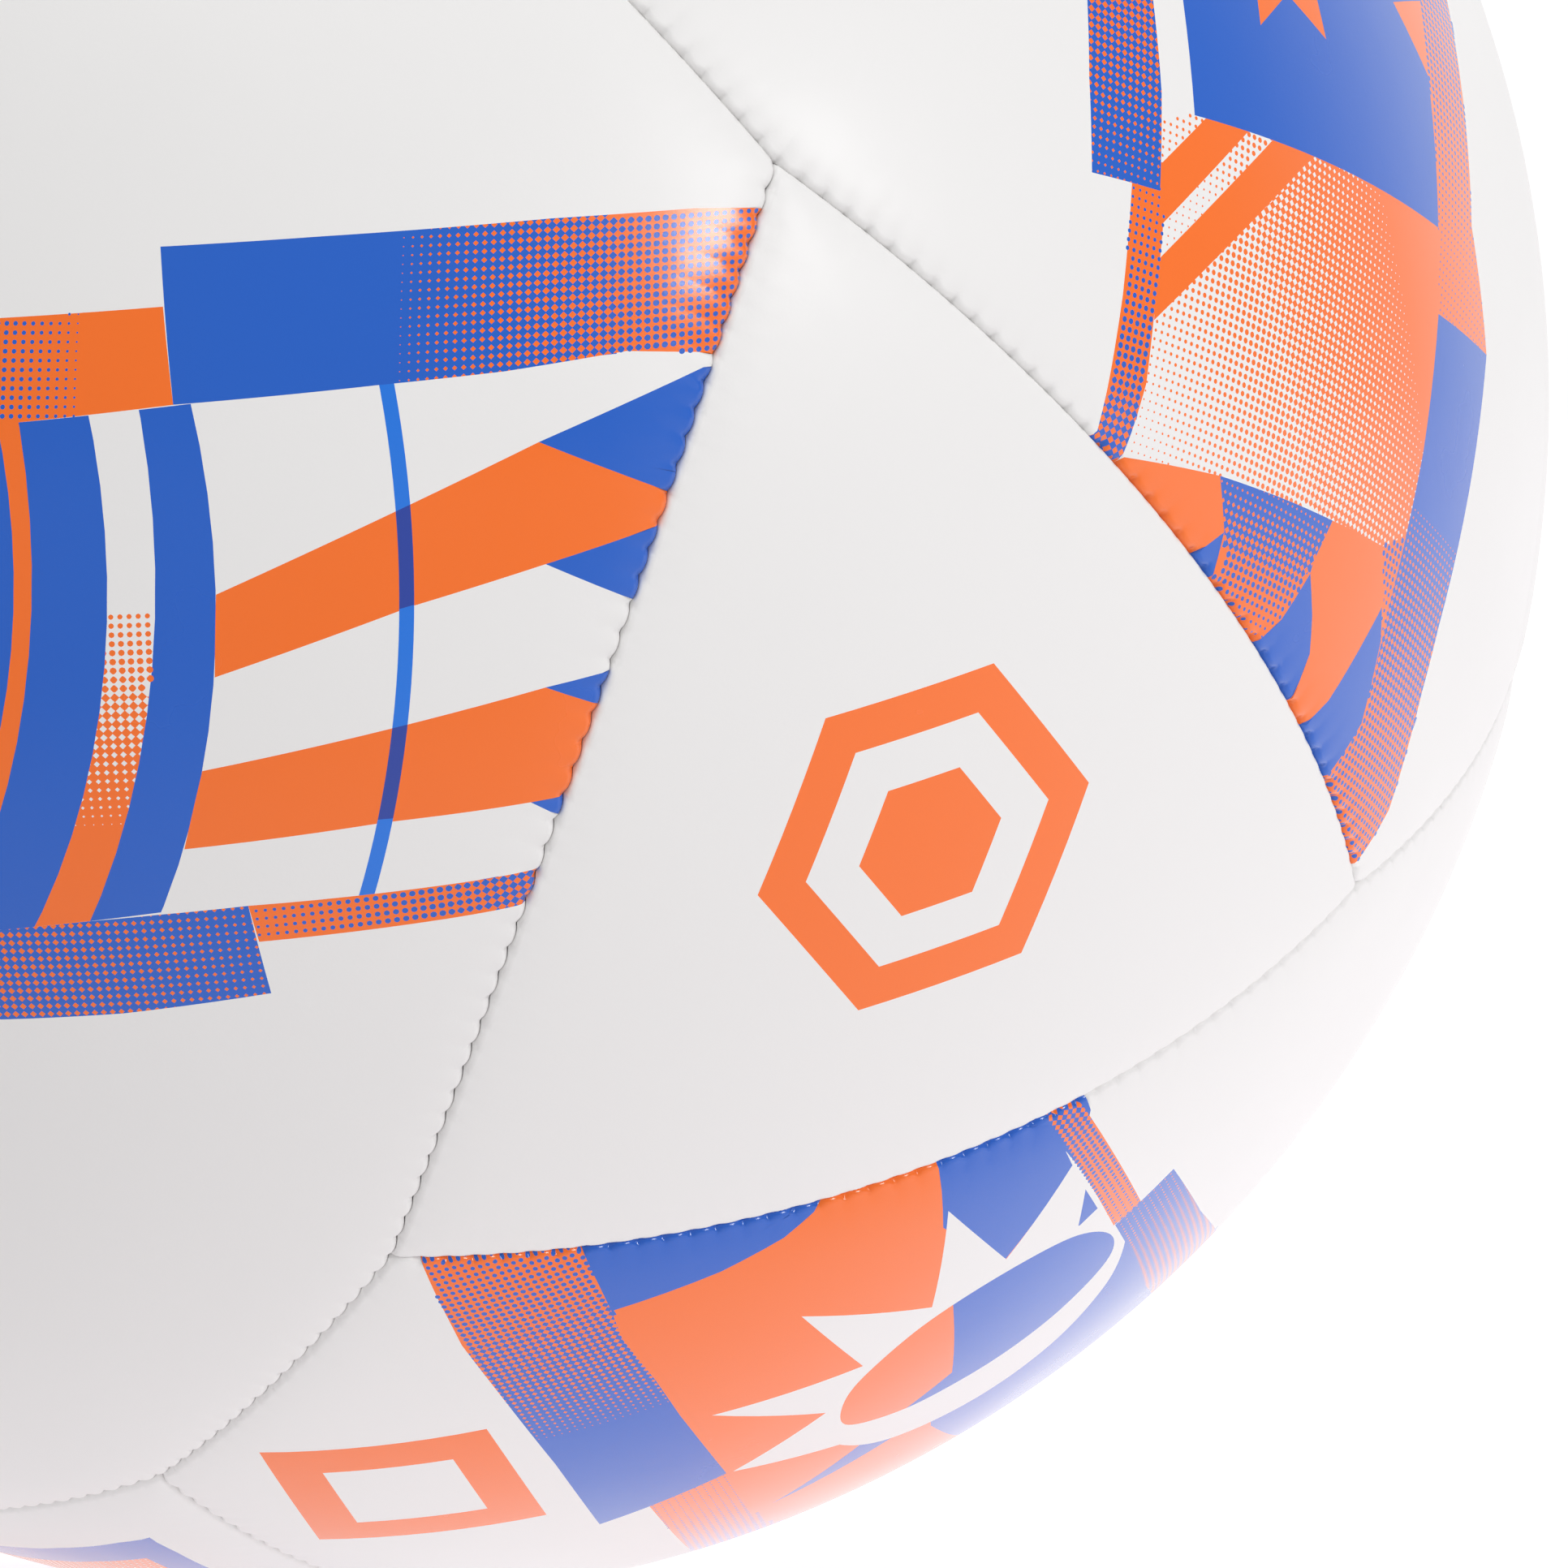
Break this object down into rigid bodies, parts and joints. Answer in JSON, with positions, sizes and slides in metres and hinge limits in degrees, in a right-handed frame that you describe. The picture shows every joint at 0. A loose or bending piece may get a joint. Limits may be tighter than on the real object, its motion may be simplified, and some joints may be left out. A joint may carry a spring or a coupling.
{
  "type": "soccer ball",
  "caption": "Round inflated soccer ball with curved stitched cover panels, foam backing, inner bladder and a needle valve.",
  "frame": {"origin": "centre of the ball", "axes": "+Z runs out of the ball through the middle of the valve, which is up; +Y is away from the viewer and +X to the viewer's right, in the pictured attitude"},
  "size_m": [0.22, 0.22, 0.2199],
  "materials": {
    "panel_skin": "glossy white polyurethane skin with printed areas",
    "foam": "closed-cell foam",
    "lining": "woven polyester-cotton",
    "thread": "twisted polyester",
    "butyl": "satin",
    "valve_rubber": "matte",
    "core_rubber": "satin",
    "patch": "matte"
  },
  "bodies": {
    "ball": {"corner_cover_1": "panel_skin", "corner_foam_1": "foam", "corner_lining_1": "lining", "corner_stitching_1": "thread", "corner_cover_2": "panel_skin", "corner_foam_2": "foam", "corner_lining_2": "lining", "corner_stitching_2": "thread", "corner_cover_3": "panel_skin", "corner_foam_3": "foam", "corner_lining_3": "lining", "corner_stitching_3": "thread", "corner_cover_4": "panel_skin", "corner_foam_4": "foam", "corner_lining_4": "lining", "corner_stitching_4": "thread", "corner_cover_5": "panel_skin", "corner_foam_5": "foam", "corner_lining_5": "lining", "corner_stitching_5": "thread", "corner_cover_6": "panel_skin", "corner_foam_6": "foam", "corner_lining_6": "lining", "corner_stitching_6": "thread", "corner_cover_7": "panel_skin", "corner_foam_7": "foam", "corner_lining_7": "lining", "corner_stitching_7": "thread", "corner_cover_8": "panel_skin", "corner_foam_8": "foam", "corner_lining_8": "lining", "corner_stitching_8": "thread", "large_cover_1": "panel_skin", "large_foam_1": "foam", "large_lining_1": "lining", "large_cover_2": "panel_skin", "large_foam_2": "foam", "large_lining_2": "lining", "large_cover_3": "panel_skin", "large_foam_3": "foam", "large_lining_3": "lining", "large_cover_4": "panel_skin", "large_foam_4": "foam", "large_lining_4": "lining", "large_cover_5": "panel_skin", "large_foam_5": "foam", "large_lining_5": "lining", "large_cover_6": "panel_skin", "large_foam_6": "foam", "large_lining_6": "lining", "cross_stitching": "thread", "bladder": "butyl", "valve_housing": "valve_rubber", "valve_patch": "patch"},
    "valve_core": {"valve_core": "core_rubber"}
  },
  "joints": [
    {"name": "valve_core_slide", "type": "slide", "parent": "ball", "child": "valve_core", "axis": [0, 0, 1], "range_m": [0, 0.018]}
  ]
}
